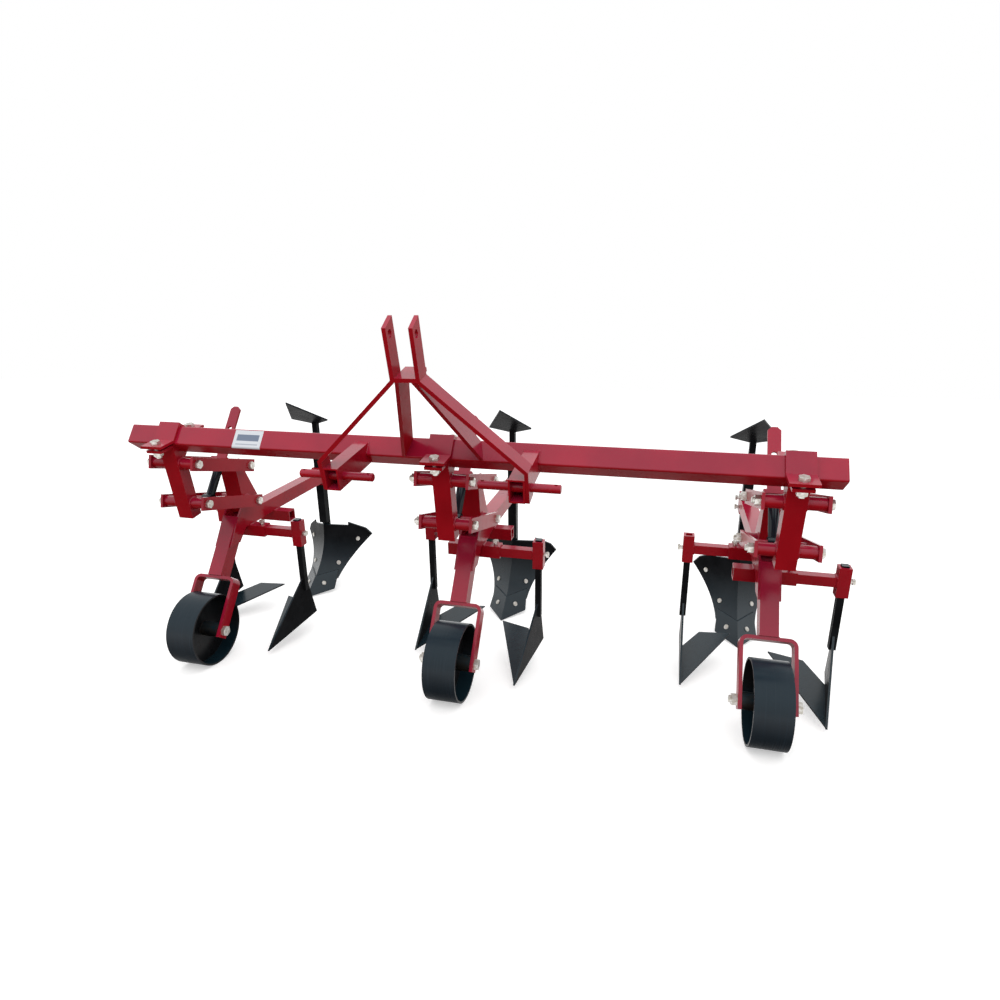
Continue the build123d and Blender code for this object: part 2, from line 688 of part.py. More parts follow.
# Hoes: a shank, an upright plate and a swept wing along its lower edge, pointing inwards
def make_hoe(side, sleeve_y, toe_degrees, hoe_raise):
    """A hoe on the right (1) or left (-1), its nose turned inwards by its toe."""
    toe = radians(toe_degrees)
    rearwards = Vector(side * sin(toe), cos(toe), 0)
    upwards = Vector(0, 0, 1)
    foot = Vector(side * hoe_reach, sleeve_y, hoe_raise)
    rise = atan2(hoe_heel_height, hoe_heel_back + hoe_tip_forward)
    half_shank = shank_side / 2
    shank_top = sleeve_height + hoe_socket_height / 2 - shank_top_drop
    plate_plane = Plane(foot, x_dir=rearwards, z_dir=rearwards.cross(upwards))
    wing_plane = Plane(foot - rearwards * hoe_tip_forward, x_dir=rearwards * cos(rise) + upwards * sin(rise),
                       z_dir=upwards * cos(rise) - rearwards * sin(rise))
    with BuildPart() as hoe:
        with BuildSketch(Plane(foot + upwards * shank_foot)):
            Rectangle(shank_side, shank_side)
        extrude(amount=shank_top - shank_foot)
        plate = [(-hoe_tip_forward, 0), (hoe_heel_back, hoe_heel_height), (half_shank, hoe_plate_top),
                 (-half_shank, hoe_plate_top)]
        side_polygon(plate_plane, plate, hoe_plate / 2)
        with BuildSketch(wing_plane):
            with BuildLine():
                Polyline((0, 0), (hoe_wing_length, side * hoe_wing_reach),
                         (hoe_wing_length - hoe_heel_back / 4, side * hoe_wing_root),
                         (hoe_notch_length, 0), close=True)
            make_face()
        extrude(amount=hoe_wing_thickness)
    return hoe.part


# Ridger: leg with frog and duckfoot, mouldboards and share
wing_levels = [wing_bottom + (wing_top - wing_bottom) * step / 5 for step in range(6)]
share_bottom = -working_depth
share_top = share_bottom + share_height


def wing_section(height):
    """Prow Y, reach to the side and run to the rear of the mouldboards at a height."""
    part = (height - wing_bottom) / (wing_top - wing_bottom)
    flare = part ** wing_flare
    reach = wing_bottom_reach + (wing_top_reach - wing_bottom_reach) * flare
    back = wing_bottom_back + (wing_top_back - wing_bottom_back) * flare
    dip = (wing_top - height) / (wing_top - share_bottom)
    return prow_top_y - prow_run * dip ** prow_curve, reach, back


def wing_face(height, prow_y, reach, back, wall, sag):
    """One half section of a mouldboard or share: a curved strip from the prow to the outer edge."""
    with BuildSketch(Plane((0, 0, height))) as section:
        with BuildLine():
            middle = (reach / 2, prow_y + back / 2 + sag)
            ThreePointArc((0, prow_y), middle, (reach, prow_y + back))
            Line((reach, prow_y + back), (reach, prow_y + back + wall))
            ThreePointArc((reach, prow_y + back + wall), (middle[0], middle[1] + wall), (0, prow_y + wall))
            Line((0, prow_y + wall), (0, prow_y))
        make_face()
    return section.sketch


wing_corner_height = wing_tail_height - wing_corner_drop

with BuildPart() as ridger_wing:
    loft([wing_face(level, *wing_section(level), wing_wall, wing_sag) for level in wing_levels])
    with BuildSketch(Plane.XZ):
        with BuildLine():
            Polyline((0, wing_prow_height), (wing_step_reach, wing_step_low), (wing_step_reach, wing_step_high),
                     (wing_tail_reach - wing_corner, wing_tail_height), (wing_tail_reach, wing_corner_height),
                     (2 * wing_top_reach, wing_corner_height), (2 * wing_top_reach, 2 * wing_top),
                     (0, 2 * wing_top), close=True)
        make_face()
    extrude(amount=2 * leg_y, both=True, mode=Mode.SUBTRACT)

with BuildPart() as ridger_wings:
    add(ridger_wing.part)
    mirror(ridger_wing.part, about=Plane.YZ)

with BuildPart() as share_half:
    share_top_prow = wing_section(share_top)[0] - wing_wall - seat_gap
    loft([wing_face(share_bottom, share_tip_y, share_reach, share_back, wing_wall, wing_sag / 2),
          wing_face(share_top, share_top_prow, share_top_reach, share_top_back, wing_wall, wing_sag / 2)])

with BuildPart() as ridger_share:
    add(share_half.part)
    mirror(share_half.part, about=Plane.YZ)

with BuildPart() as wing_space:
    space_faces = []
    for level in wing_levels:
        level_prow, level_reach, level_back = wing_section(level)
        space_faces.append(wing_face(level, level_prow - leg_side, level_reach, level_back,
                                     wing_wall + seat_gap + leg_side, wing_sag))
    loft(space_faces)

duckfoot_rise = radians(duckfoot_slope)
duckfoot_line = Vector(0, -cos(duckfoot_rise), sin(duckfoot_rise))
duckfoot_plane = Plane((0, leg_y, duckfoot_height), x_dir=(1, 0, 0), z_dir=Vector(1, 0, 0).cross(duckfoot_line))

with BuildPart() as ridger_leg:
    frog_heights = [leg_foot + (frog_top - leg_foot) * step / 4 for step in range(5)]
    frog = [(wing_section(height)[0], height) for height in frog_heights]
    frog += [(leg_y + leg_side / 2, frog_top), (leg_y + leg_side / 2, leg_foot)]
    side_polygon(level_side_plane, frog, frog_width / 2)
    with BuildSketch(Plane((0, leg_y, frog_top - leg_side))):
        Rectangle(leg_side, leg_side)
    extrude(amount=leg_top - frog_top + leg_side)
    for cutter in (wing_space.part, mirror(wing_space.part, about=Plane.YZ, mode=Mode.PRIVATE)):
        add(cutter, mode=Mode.SUBTRACT)
    with BuildSketch(Plane((0, leg_y, leg_top))):
        Rectangle(leg_neck_side, leg_neck_side)
    extrude(amount=duckfoot_height - leg_top)
    with BuildSketch(duckfoot_plane):
        with BuildLine():
            Polyline((-leg_neck_side / 2, 0), (leg_neck_side / 2, 0), (duckfoot_half_width, duckfoot_shoulder),
                     (0, duckfoot_length), (-duckfoot_half_width, duckfoot_shoulder), close=True)
        make_face()
    extrude(amount=duckfoot_thickness)

# Fasteners
clamp_grip = lip_gap + 2 * clamp_thickness
pivot_grip = 2 * bolt_seat_x
axle_grip = 2 * fork_half_width
clamp_bolt = hex_bolt(bolt_16, clamp_grip)
pivot_bolt = hex_bolt(bolt_16, pivot_grip)
axle_bolt = hex_bolt(bolt_20, axle_grip)
tool_up = tool_direction(0, 0, 1)
lip_top = lip_gap / 2 + clamp_thickness
clamp_seats = []
pivot_seats = []
for row_x in row_centres:
    for reach in (-clamp_bolt_reach, clamp_bolt_reach):
        clamp_seats.append(seat(*tool_point(row_x, reach, lip_top), tool_up))
    for pivot in (front_upper_pivot, front_lower_pivot):
        pivot_seats.append(seat(row_x + bolt_seat_x, pivot.Y, pivot.Z, (1, 0, 0)))

with BuildPart() as clamp_bolts:
    with Locations(*clamp_seats):
        add(clamp_bolt)

with BuildPart() as front_pivot_bolts:
    with Locations(*pivot_seats):
        add(pivot_bolt)

sleeve_grip = (sleeve_side - hoe_arm_side) / 2 - slide_fit + set_bolt_stand
socket_grip = (tube_side - leg_side) / 2 - slide_fit + set_bolt_stand
sleeve_bolt = hex_bolt(bolt_12, sleeve_grip, with_nut=False)
socket_bolt = hex_bolt(bolt_12, socket_grip, with_nut=False)
sleeve_seat_height = beam_bottom + set_bolt_stand
sleeve_seats = [seat(sleeve_bolt_x, front_sleeve_y, sleeve_seat_height, (0, 0, 1)),
                seat(-sleeve_bolt_x, rear_sleeve_y, sleeve_seat_height, (0, 0, 1))]
socket_seats = [seat(-half_tube - set_bolt_stand, leg_y, beam_height - leg_bolt_spread, (-1, 0, 0)),
                seat(-half_tube - set_bolt_stand, leg_y, beam_height + leg_bolt_spread, (-1, 0, 0))]
rear_pivot_seats = [seat(bolt_seat_x, pivot.Y, pivot.Z, (1, 0, 0)) for pivot in (rear_upper_pivot, rear_lower_pivot)]

with BuildPart() as frame_bolts:
    with Locations(*rear_pivot_seats):
        add(pivot_bolt)
    with Locations(seat(fork_half_width, axle_centre.Y, axle_centre.Z, (1, 0, 0))):
        add(axle_bolt)
    with Locations(*sleeve_seats):
        add(sleeve_bolt)
    with Locations(*socket_seats):
        add(socket_bolt)

# Write every piece
os.makedirs("parts", exist_ok=True)


# Stance: turned nose-down about the wheels until the share tips are on the floor too
stand_run = share_tip_y - axle_centre.Y
stand_drop = wheel_radius + working_depth
stand_angle = atan2(stand_drop, stand_run) - asin(wheel_radius / hypot(stand_drop, stand_run))
floor_lift = working_depth * cos(stand_angle) - share_tip_y * sin(stand_angle)
stance = Location((-origin_right, -origin_back, floor_lift), (degrees(stand_angle), 0, 0))


def write_piece(piece, label):
    placed = piece.moved(stance)
    placed.label = label
    export_step(placed, f"parts/{label}.step")


write_piece(toolbar.part, "toolbar")
write_piece(end_caps.part, "toolbar_end_caps")
write_piece(make_hitch_arm(-1), "hitch_arm_left")
write_piece(make_hitch_arm(1), "hitch_arm_right")
write_piece(hitch_pins.part, "lower_hitch_pins")
write_piece(mast_bar_left.part, "mast_bar_left")
write_piece(mast_bar_right.part, "mast_bar_right")
write_piece(mast_spacer.part, "mast_spacer")
write_piece(mast_stay_left.part, "mast_stay_left")
write_piece(mast_stay_right.part, "mast_stay_right")
write_piece(clamp_bolts.part, "clamp_bolts")
write_piece(front_pivot_bolts.part, "front_pivot_bolts")


def welded_group(*builders):
    """The solids that are welded to each other on the real object, kept as separate solids of one piece."""
    return Compound([solid for builder in builders for solid in builder.part.solids()])


unit_pieces = {
    "toolbar_clamp": toolbar_clamp.part,
    "hanger": hanger.part,
    "upper_links": upper_links.part,
    "lower_links": lower_links.part,
    "limit_strap": limit_strap.part,
    "frame": welded_group(unit_frame, cross_sleeves),
    "frame_bolts": frame_bolts.part,
    "wheel_leg": wheel_leg.part,
    "gauge_wheel": welded_group(wheel_rim, wheel_disc, wheel_hub),
    "hoe_arm_right": make_hoe_arm(1, front_sleeve_y),
    "hoe_arm_left": make_hoe_arm(-1, rear_sleeve_y),
    "hoe_right": make_hoe(1, front_sleeve_y, right_hoe_toe, right_hoe_raise),
    "hoe_left": make_hoe(-1, rear_sleeve_y, left_hoe_toe, left_hoe_raise),
    "ridger_leg": ridger_leg.part,
    "ridger_wings": ridger_wings.part,
    "ridger_share": ridger_share.part,
}

for row_name, row_x in zip(row_names, row_centres):
    for piece_name, piece in unit_pieces.items():
        write_piece(piece.moved(Location((row_x, 0, 0))), f"{row_name}_{piece_name}")
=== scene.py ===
# %% [markdown]
# A ridger for three crop rows, dressed in Blender.
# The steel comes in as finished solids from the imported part: toolbar, hitch, links, wheels, hoes and ridgers.
# This lesson paints those solids, adds the bolts and the weld beads that a fitter and a welder leave on them,
# and sets up the floor, the light and the camera.

# %% Load the solids
import math

import bpy
from mathutils import Matrix, Vector


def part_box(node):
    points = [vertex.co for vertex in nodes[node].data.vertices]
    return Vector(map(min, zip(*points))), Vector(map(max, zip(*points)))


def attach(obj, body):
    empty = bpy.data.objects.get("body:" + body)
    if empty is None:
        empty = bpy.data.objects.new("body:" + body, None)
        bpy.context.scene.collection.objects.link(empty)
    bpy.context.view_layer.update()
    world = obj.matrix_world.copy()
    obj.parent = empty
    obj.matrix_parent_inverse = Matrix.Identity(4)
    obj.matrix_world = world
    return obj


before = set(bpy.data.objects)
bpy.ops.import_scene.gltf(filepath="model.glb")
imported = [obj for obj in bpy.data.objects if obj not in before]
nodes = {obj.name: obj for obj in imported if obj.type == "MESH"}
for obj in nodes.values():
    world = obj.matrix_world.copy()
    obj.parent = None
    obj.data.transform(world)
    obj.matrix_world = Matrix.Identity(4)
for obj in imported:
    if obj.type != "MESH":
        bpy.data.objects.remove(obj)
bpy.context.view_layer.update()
unit_names = ("left_unit", "middle_unit", "right_unit")


def middle_x(node_name):
    low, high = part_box(node_name)
    return (low.x + high.x) / 2


row_x = {unit: middle_x(unit + "_frame") for unit in unit_names}
print("nodes", len(nodes), "rows at", [round(x, 4) for x in row_x.values()])

# %% [markdown]
# The machine was drawn with its beams level. It is parked with its nose down, on its wheels and share tips.
# Places that are known from the level drawing are turned and moved the same way.
# The toolbar is turned a little more, about its own length.

# %% From the level drawing to the parked machine
stand_angle = math.radians(6.94347)
stance = Matrix.Translation((0.0, -0.252926, 0.002158)) @ Matrix.Rotation(stand_angle, 4, "X")
toolbar_height = 0.760
toolbar_pitch = Matrix.Rotation(math.radians(8.0), 4, "X")
toolbar_turn = stance @ Matrix.Translation((0, 0, toolbar_height)) @ toolbar_pitch


def parked(x, y, z):
    """A point of the level drawing, in metres, where it is on the parked machine."""
    return stance @ Vector((x, y, z))


print("toolbar's middle", [round(value, 4) for value in toolbar_turn.translation])

# %% [markdown]
# Paint and plating are built from shader nodes.
# Adding nodes one by one takes many lines, so a small class wraps an output socket.
# With it, plain Python arithmetic such as 1 - mask adds the Math nodes,
# and one method adds any other node with its settings and its sockets.


# %% A socket that does arithmetic
class Shade:
    """An output socket of a node tree that Python operators can combine."""

    def __init__(self, tree, socket):
        self.tree = tree
        self.socket = socket

    def node(self, kind, settings, sockets, output=0):
        """Add a node, set it up, and give its sockets their values or links."""
        made = self.tree.nodes.new(kind)
        for name, value in settings.items():
            setattr(made, name, value)
        for name, value in sockets.items():
            if isinstance(value, Shade):
                self.tree.links.new(value.socket, made.inputs[name])
            else:
                made.inputs[name].default_value = value
        return Shade(self.tree, made.outputs[output])

    def maths(self, operation, first, second=0.0):
        return self.node("ShaderNodeMath", {"operation": operation}, {0: first, 1: second})

    def __add__(self, other):
        return self.maths("ADD", self, other)

    def __radd__(self, other):
        return self.maths("ADD", other, self)

    def __sub__(self, other):
        return self.maths("SUBTRACT", self, other)

    def __rsub__(self, other):
        return self.maths("SUBTRACT", other, self)

    def __mul__(self, other):
        return self.maths("MULTIPLY", self, other)

    def __rmul__(self, other):
        return self.maths("MULTIPLY", other, self)

    def between(self, low, high):
        """0 below low, 1 above high, and a smooth rise from one to the other."""
        return self.node("ShaderNodeMapRange", {"interpolation_type": "SMOOTHSTEP"},
                         {"Value": self, "From Min": low, "From Max": high, "To Min": 0.0, "To Max": 1.0})

    def choose(self, plain, other):
        """The colour plain where this is 0, and the colour other where it is 1."""
        colours = {"Factor": self, 6: plain, 7: other}
        return self.node("ShaderNodeMix", {"data_type": "RGBA"}, colours, output=2)

    def dot(self, other):
        return self.node("ShaderNodeVectorMath", {"operation": "DOT_PRODUCT"}, {0: self, 1: other}, output=1)

    def axis(self, number):
        """One number of a place or a direction: 0 along the toolbar, 1 towards the rear, 2 up."""
        return self.node("ShaderNodeSeparateXYZ", {}, {0: self}, output=number)

    def along(self, way, start):
        """How far a place is from the start in one direction."""
        return self.dot(way) - start.dot(way)


def source(tree, kind, output):
    """An output of a new node that has no inputs, as the start of an expression."""
    return Shade(tree, tree.nodes.new(kind).outputs[output])


def colour(red, green, blue):
    return (red, green, blue, 1.0)


# %% [markdown]
# Every finish here starts the same way: an empty material with a Principled shader,
# and the Object coordinates. The solids sit at the origin, so these are metres on the machine,
# and 2 mm of grain is really 2 mm.
# A noise, a mask of the sharp edges and a mask of the faces that look up are shared by the finishes.


# %% A new finish
def start_finish(name):
    made = bpy.data.materials.new(name)
    made.use_nodes = True
    tree = made.node_tree
    return made, tree.nodes["Principled BSDF"], source(tree, "ShaderNodeTexCoord", "Object")


def feed(shader, name, value):
    value.tree.links.new(value.socket, shader.inputs[name])


def cloud(place, size, detail=3.0, roughness=0.5):
    """Soft noise with blobs of about this size in metres."""
    return place.node("ShaderNodeTexNoise", {}, {"Vector": place, "Scale": 1.0 / size, "Detail": detail,
                                                 "Roughness": roughness})


def edge_closeness(place, radius):
    """Near 1 on an outer edge of the steel, and 0 on its flat faces."""
    rounded = place.node("ShaderNodeBevel", {"samples": 6}, {"Radius": radius})
    flat = place.node("ShaderNodeNewGeometry", {}, {}, output=1)
    return (1.0 - rounded.dot(flat)).between(0.02, 0.25)


def upward(place, low, high):
    """0 on faces that look down, 1 on faces that look up, and a smooth rise between these two slopes."""
    return source(place.tree, "ShaderNodeTexCoord", "Normal").axis(2).between(low, high)


# %% [markdown]
# All the paint has a colour, a roughness and small bumps, and a clear coat that gives it its gloss.
# Under the coat the paint is nearly dull, so that it shines only where it is coated.


# %% Fill in a finish
def dress(shader, base, rough, height, relief):
    """Give a shader its colour, its roughness and bumps as high as the relief, in metres."""
    feed(shader, "Base Color", base)
    feed(shader, "Roughness", rough)
    bumps = height.node("ShaderNodeBump", {}, {"Strength": 1.0, "Distance": relief, "Height": height})
    feed(shader, "Normal", bumps)


def lacquer(shader, coat, coat_rough, undercoat):
    """Lay a clear coat over paint whose own gloss is that of the undercoat."""
    feed(shader, "Coat Weight", coat)
    shader.inputs["Coat Roughness"].default_value = coat_rough
    shader.inputs["Specular IOR Level"].default_value = undercoat


# %% [markdown]
# The red parts are sprayed with gloss enamel.
# Spray paint is never quite even: it is a little darker where it is thick, it has the small dimples called
# orange peel, and it is thin along sharp edges, where the lighter red is also a painted highlight.
# A thin veil of dust takes the shine off in patches.
# The spray comes from above, so the faces that look up are glossy, and the undersides are dull, dry overspray.
# The faces that look up are also tinted a cool pink, a painted reflection of a blue sky. An even red would look
# like plastic.

# %% Red enamel
red_deep = colour(0.325, 0.0045, 0.0095)
red_bright = colour(0.42, 0.0065, 0.0135)
red_thin_edge_and_highlight = colour(0.55, 0.030, 0.038)
red_dust = colour(0.30, 0.030, 0.034)
red_painted_sheen = colour(0.20, 0.03, 0.20)
enamel_slopes = (-0.25, 0.45)
enamel_coat_rough = 0.16
enamel_undercoat = 0.02
enamel_relief = 0.0006


def red_surface(place):
    """Base colour, roughness, height and gloss of the sprayed red enamel."""
    drift = cloud(place, size=0.16).between(0.32, 0.68)
    base = drift.choose(red_deep, red_bright)
    veil = cloud(place, size=0.045, detail=5.0, roughness=0.6).between(0.52, 0.82)
    base = (veil * 0.10).choose(base, red_dust)
    gloss = upward(place, *enamel_slopes)
    # Faces that look up are tinted a cool pink: a painted reflection of a blue sky.
    base = (gloss * 0.13).choose(base, red_painted_sheen)
    broken = cloud(place, size=0.006).between(0.40, 0.62)
    edge = edge_closeness(place, radius=0.0020)
    # Sharp edges are a lighter red: thin paint, and also a painted highlight.
    base = (edge * broken * 0.55).choose(base, red_thin_edge_and_highlight)
    rough = 0.27 + veil * 0.10 + drift * 0.04
    peel = cloud(place, size=0.0040, detail=1.0)
    height = peel * 0.18 + cloud(place, size=0.04, detail=2.0) * 0.7
    return base, rough, height, gloss


red_paint, red_shader, red_place = start_finish("red_enamel")
red_base, red_rough, red_height, red_gloss = red_surface(red_place)
dress(red_shader, red_base, red_rough, red_height, enamel_relief)
lacquer(red_shader, red_gloss, enamel_coat_rough, enamel_undercoat)
print("made", red_paint.name)

# %% [markdown]
# The ground tools and the wheels are dipped in satin black.
# It is duller than the enamel, and the faces that look up are tinted blue-grey, a painted reflection of a blue
# sky.
# Handling leaves fine scratches, so a noise that is stretched along one direction varies the roughness,
# and the sharp edges are rubbed to a dark grey.

# %% Satin black
black_deep = colour(0.0065, 0.0068, 0.0078)
black_pale = colour(0.0130, 0.0138, 0.0155)
black_edge = colour(0.060, 0.060, 0.064)
black_painted_sheen = colour(0.006, 0.024, 0.036)
tool_slopes = (-0.05, 0.60)
scratch_turn = (0.5, 0.2, 0.7)
scratch_stretch = (40.0, 900.0, 260.0)
black_coat_rough = 0.26
black_undercoat = 0.015
black_relief = 0.0006


def black_surface(place):
    """Base colour, roughness and height of the dipped black paint."""
    drift = cloud(place, size=0.07, detail=5.0).between(0.32, 0.70)
    base = drift.choose(black_deep, black_pale)
    # Faces that look up are tinted blue-grey: a painted reflection of a blue sky.
    base = (upward(place, *tool_slopes) * 0.75).choose(base, black_painted_sheen)
    broken = cloud(place, size=0.008).between(0.38, 0.60)
    edge = edge_closeness(place, radius=0.0018)
    base = (edge * broken * 0.8).choose(base, black_edge)
    drawn = place.node("ShaderNodeMapping", {}, {"Vector": place, "Rotation": scratch_turn,
                                                 "Scale": scratch_stretch})
    scratch = cloud(drawn, size=1.0, detail=2.0).between(0.60, 0.72)
    rough = 0.26 + drift * 0.10 - scratch * 0.06
    height = cloud(place, size=0.0025, detail=2.0) * 0.5 + cloud(place, size=0.05, detail=2.0)
    return base, rough, height


tool_black, black_shader, black_place = start_finish("satin_black")
black_base, black_rough, black_height = black_surface(black_place)
dress(black_shader, black_base, black_rough, black_height, black_relief)
lacquer(black_shader, upward(black_place, *tool_slopes), black_coat_rough, black_undercoat)
print("made", tool_black.name)

# %% [markdown]
# The wheels roll on their rims, so their black is scuffed in bands around the tread. The whole tread is also
# tinted blue-grey, a painted reflection of a blue sky.
# The distance from the axle tells the tread from the hub, which keeps a brown film of grease.
# One finish serves the three wheels, because their axles are in line.

# %% Wheel black
wheel_low, wheel_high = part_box("middle_unit_gauge_wheel")
axle = (wheel_low + wheel_high) / 2
tread_radius = 0.116
hub_radius = 0.027
tread_scuffs_and_sheen = colour(0.014, 0.026, 0.038)
hub_greased = colour(0.030, 0.023, 0.017)
tread_slopes = (-0.45, 0.45)
grain_across, grain_around = 260.0, 6.0
wheel_relief = 0.0005
wheel_paint, wheel_shader, wheel_place = start_finish("wheel_black")
wheel_base, wheel_rough, wheel_height = black_surface(wheel_place)
from_axle_y = wheel_place.axis(1) - axle.y
from_axle_z = wheel_place.axis(2) - axle.z
from_axle = wheel_place.maths("SQRT", from_axle_y * from_axle_y + from_axle_z * from_axle_z)
ring_parts = {0: wheel_place.axis(0) * grain_across,
              1: from_axle_y * grain_around, 2: from_axle_z * grain_around}
ring_place = wheel_place.node("ShaderNodeCombineXYZ", {}, ring_parts)
scuff = cloud(ring_place, size=1.0, detail=4.0).between(0.52, 0.75)
tread = from_axle.between(tread_radius - 0.0005, tread_radius + 0.0005)
# The tread is tinted blue-grey all round, a painted reflection of a blue sky, and more so in the scuffed bands.
wheel_base = (tread * 0.5 + scuff * tread * 0.3).choose(wheel_base, tread_scuffs_and_sheen)
hub = 1.0 - from_axle.between(hub_radius - 0.003, hub_radius + 0.003)
grease = hub * cloud(wheel_place, size=0.02, detail=4.0).between(0.30, 0.60)
wheel_base = (grease * 0.5).choose(wheel_base, hub_greased)
dress(wheel_shader, wheel_base, wheel_rough + scuff * tread * 0.10, wheel_height, wheel_relief)
lacquer(wheel_shader, upward(wheel_place, *tread_slopes) * 0.55, black_coat_rough, black_undercoat)
print("axle at", round(axle.y, 4), round(axle.z, 4))

# %% [markdown]
# Bolts and nuts are zinc plated.
# Zinc is a bright metal with a cloudy crystal pattern and a faint yellow stain, so the metal's colour varies.
# Its pale film scatters some of the light, so it is a little less than a full metal.

# %% Zinc plating
zinc_pale = colour(0.68, 0.67, 0.64)
zinc_stain = colour(0.50, 0.47, 0.41)
zinc_grime = colour(0.12, 0.10, 0.085)
zinc_metal = 0.85
zinc_relief = 0.0002


def zinc_surface(place):
    """Base colour and roughness of zinc plate."""
    bloom = cloud(place, size=0.009, detail=4.0).between(0.36, 0.66)
    base = bloom.choose(zinc_pale, zinc_stain)
    grime = cloud(place, size=0.016, detail=5.0, roughness=0.6).between(0.58, 0.78)
    base = (grime * 0.6).choose(base, zinc_grime)
    rough = 0.30 + bloom * 0.12 + grime * 0.15
    return base, rough


zinc_plate, zinc_shader, zinc_place = start_finish("zinc_plate")
zinc_base, zinc_rough = zinc_surface(zinc_place)
zinc_height = cloud(zinc_place, size=0.0016, detail=2.0)
dress(zinc_shader, zinc_base, zinc_rough, zinc_height, zinc_relief)
zinc_shader.inputs["Metallic"].default_value = zinc_metal
print("made", zinc_plate.name)

# %% [markdown]
# The limit strap is one solid with two finishes: a black round sleeve below, and a red flat strap above.
# The strap leans, so the place along its length is the dot product of the coordinates with its direction.
# Where the sleeve ends, a mask changes one paint for the other.

# %% Two finishes on the limit strap
strap_slope = math.radians(52.7)
strap_foot = parked(0.0, 0.119489, 0.522666)
strap_way = stance.to_3x3() @ Vector((0.0, math.cos(strap_slope), math.sin(strap_slope)))
sleeve_length = 0.1412
strap_finish, strap_shader, strap_place = start_finish("strap_red_and_black")
up_the_strap = strap_place.along(strap_way, strap_foot)
is_strap = up_the_strap.between(sleeve_length - 0.0004, sleeve_length + 0.0004)
is_sleeve = 1.0 - is_strap
upper_base, upper_rough, upper_height, upper_gloss = red_surface(strap_place)
lower_base, lower_rough = black_surface(strap_place)[:2]
lower_gloss = upward(strap_place, *tool_slopes)
strap_base = is_strap.choose(lower_base, upper_base)
strap_rough = is_strap * upper_rough + is_sleeve * lower_rough
strap_gloss = is_strap * upper_gloss + is_sleeve * lower_gloss
dress(strap_shader, strap_base, strap_rough, upper_height, enamel_relief)
lacquer(strap_shader, strap_gloss, enamel_coat_rough, enamel_undercoat)
print("sleeve ends", sleeve_length, "m up the strap")

# %% [markdown]
# A hoe arm and its set bolt share a node.
# The bolt is outside the socket, so the distance from the row's middle tells zinc from red paint.
# The rows aren't evenly spaced, so each row has its own copy of this finish.

# %% Red arm with a zinc set bolt
bolt_from_row = 0.2303


def arm_finish(unit):
    made, shader, place = start_finish(unit + "_arm_finish")
    from_row = place.maths("ABSOLUTE", place.axis(0) - row_x[unit])
    is_bolt = from_row.between(bolt_from_row - 0.0001, bolt_from_row + 0.0001)
    is_arm = 1.0 - is_bolt
    arm_base, arm_rough, arm_height, arm_gloss = red_surface(place)
    bolt_base, bolt_rough = zinc_surface(place)
    rough = is_bolt * bolt_rough + is_arm * arm_rough
    dress(shader, is_bolt.choose(arm_base, bolt_base), rough, arm_height, enamel_relief)
    lacquer(shader, is_arm * arm_gloss, enamel_coat_rough, enamel_undercoat)
    feed(shader, "Metallic", is_bolt * zinc_metal)
    return made


arm_finishes = {unit: arm_finish(unit) for unit in unit_names}
print("made", len(arm_finishes), "arm finishes")

# %% [markdown]
# The toolbar is red, with one plain pale label on its upper front face, to the left of the mast.
# A label is thinner than the paint's own bumps, so it is part of the finish and not a piece of its own:
# masks along the toolbar and across it mark the label, and two more mark the blue bands printed on it.
# The toolbar stands on its edge and is turned a little, so the masks use its own directions.

# %% Toolbar with a plain label
label_white = colour(0.72, 0.75, 0.80)
label_blue = colour(0.105, 0.150, 0.245)
label_left, label_right = -0.650, -0.558
label_foot, label_head = -0.0030, 0.0395
broad_foot, broad_head = 0.0160, 0.0300
thin_foot, thin_head = 0.0070, 0.0095
band_margin = 0.010
front_line = -0.0027
edge_blur = 0.0003


def toolbar_axis(place, number):
    """The distance from the toolbar's middle along one of its own axes."""
    return place.along(toolbar_turn.col[number].to_3d(), toolbar_turn.translation)


def beyond(value, line):
    """0 below a line and 1 above it, with a sharp edge."""
    return value.between(line - edge_blur, line + edge_blur)


def inside(value, low, high):
    """1 from low to high, and 0 outside, with sharp edges."""
    return beyond(value, low) * (1.0 - beyond(value, high))


toolbar_paint, toolbar_shader, toolbar_place = start_finish("toolbar_red_with_label")
bar_base, bar_rough, bar_height, bar_gloss = red_surface(toolbar_place)
bar_along = toolbar_axis(toolbar_place, 0)
bar_back = toolbar_axis(toolbar_place, 1)
bar_up = toolbar_axis(toolbar_place, 2)
in_front = 1.0 - beyond(bar_back, front_line)
label = inside(bar_along, label_left, label_right) * inside(bar_up, label_foot, label_head) * in_front
band_length = inside(bar_along, label_left + band_margin, label_right - band_margin)
broad_band = inside(bar_up, broad_foot, broad_head) * band_length
thin_band = inside(bar_up, thin_foot, thin_head) * band_length
label_base = (broad_band * 0.85 + thin_band * 0.45).choose(label_white, label_blue)
toolbar_base = label.choose(bar_base, label_base)
dress(toolbar_shader, toolbar_base, bar_rough + label * 0.08, bar_height, enamel_relief)
lacquer(toolbar_shader, (1.0 - label * 0.67) * bar_gloss, enamel_coat_rough, enamel_undercoat)
print("label", round(label_right - label_left, 3), "m long")

# %% [markdown]
# Each node of the machine now gets its finish by its name, or by the last words of it.

# %% Paint the nodes
black_endings = ("hoe_right", "hoe_left", "ridger_leg", "ridger_wings", "ridger_share")


def finish_for(name):
    for unit in unit_names:
        if name in (unit + "_hoe_arm_right", unit + "_hoe_arm_left"):
            return arm_finishes[unit]
    if name == "toolbar":
        return toolbar_paint
    if name.endswith("gauge_wheel"):
        return wheel_paint
    if name.endswith("limit_strap"):
        return strap_finish
    if name.endswith("bolts"):
        return zinc_plate
    if name.endswith(black_endings):
        return tool_black
    return red_paint


for name, solid in nodes.items():
    solid.data.materials.clear()
    solid.data.materials.append(finish_for(name))
print("painted", len(nodes), "nodes")

